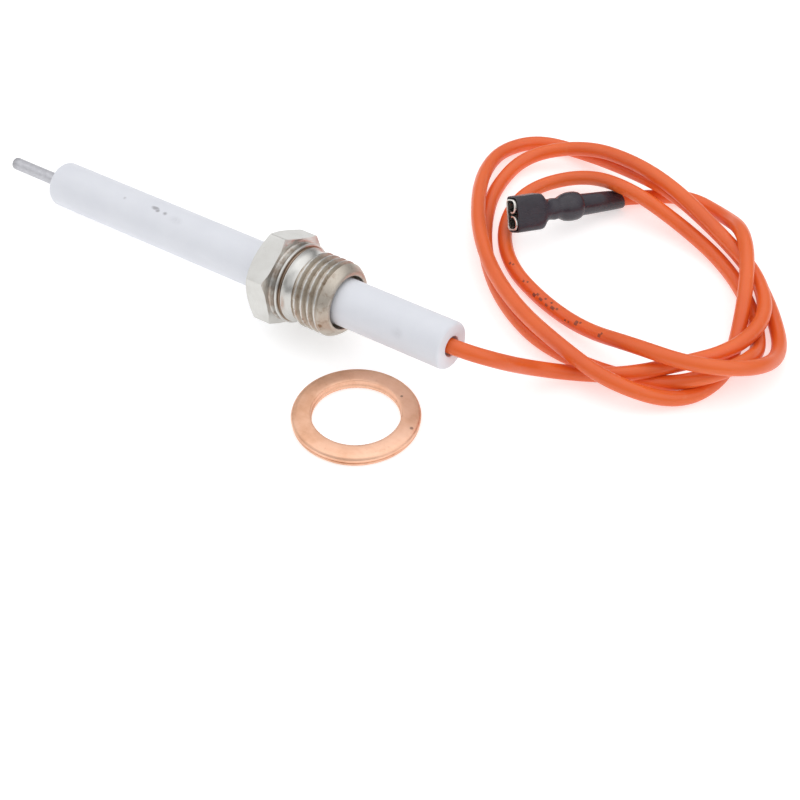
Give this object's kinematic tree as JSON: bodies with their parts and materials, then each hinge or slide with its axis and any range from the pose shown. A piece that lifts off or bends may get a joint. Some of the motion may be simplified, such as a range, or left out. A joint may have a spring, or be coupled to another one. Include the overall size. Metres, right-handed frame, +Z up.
{
  "type": "flame sensor probe",
  "caption": "Flame sensor probe for a boiler or burner: metal electrode in a ceramic tube, threaded hex bushing, silicone lead wire with a push-on receptacle, and a loose copper crush washer.",
  "frame": {"origin": "centre of the bounding box of the probe and its loose washer, without the lead wire and what is on it, at the surface they lie on", "axes": "+X along the surface from the electrode tip towards the wire end of the ceramic (the probe itself rises 5.2 degrees that way), +Y level and to the left seen from the tip, +Z up"},
  "size_m": [0.1511, 0.0993, 0.0188],
  "materials": {
    "electrode_steel": "drawn heat-resisting alloy rod, dull, darker at its tip",
    "alumina": "unglazed fired alumina, matte, slightly off-white",
    "nickel_plate": "nickel-plated brass, turned, slightly warm and worn",
    "packing_metal": "pressed soft metal ring",
    "cement": "dried ceramic cement, grainy",
    "tinned_copper": "tinned copper",
    "silicone": "orange silicone rubber, satin",
    "terminal_plate": "tin-plated brass strip, satin",
    "sleeve_black": "shrunk polyolefin sleeve, satin black",
    "washer_copper": "soft copper sheet, lightly tarnished"
  },
  "bodies": {
    "probe": {"electrode_rod": "electrode_steel", "ceramic_insulator": "alumina", "hex_bushing": "nickel_plate", "front_packing_ring": "packing_metal", "bushing_cement": "cement", "rear_packing_ring": "packing_metal", "rod_cement": "cement", "bore_potting": "cement", "splice_ferrule": "tinned_copper", "inner_conductor": "tinned_copper", "lead_wire": "silicone", "push_on_receptacle": "terminal_plate", "terminal_conductor": "tinned_copper", "heat_shrink_sleeve": "sleeve_black"},
    "washer": {"washer_jacket": "washer_copper", "washer_filler": "washer_copper"}
  },
  "joints": [
    {"name": "washer_lift", "type": "slide", "parent": "probe", "child": "washer", "axis": [0, -0.6, 0.8], "range_m": [0, 0.03]}
  ]
}
